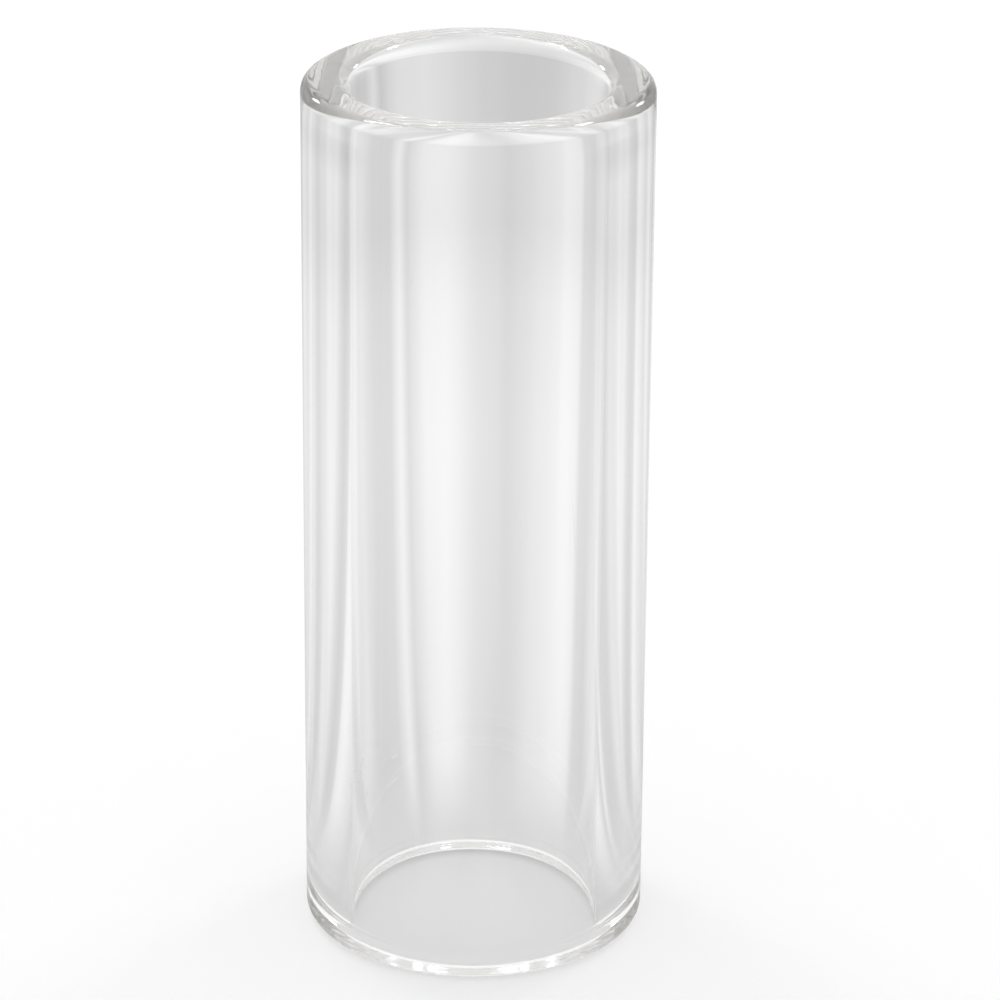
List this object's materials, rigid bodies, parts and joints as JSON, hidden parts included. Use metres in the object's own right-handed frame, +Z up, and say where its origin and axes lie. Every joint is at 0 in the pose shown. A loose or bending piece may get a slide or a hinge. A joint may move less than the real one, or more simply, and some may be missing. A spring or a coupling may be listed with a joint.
{
  "type": "guitar slide",
  "caption": "Straight heavy-walled clear glass tube, open at both ends with rounded rims, worn on a finger and slid along the strings.",
  "frame": {"origin": "middle of the lower rim's flat ring, on the bore's axis, at the surface the slide stands on", "axes": "+Z up along the bore from the lower rim to the upper rim; X and Y are any two directions across the round tube"},
  "size_m": [0.0266, 0.0266, 0.069],
  "materials": {
    "clear_glass": "clear borosilicate glass, drawn and polished, flame-polished rims, IOR 1.474"
  },
  "bodies": {
    "root": {"glass_tube": "clear_glass"}
  },
  "joints": []
}
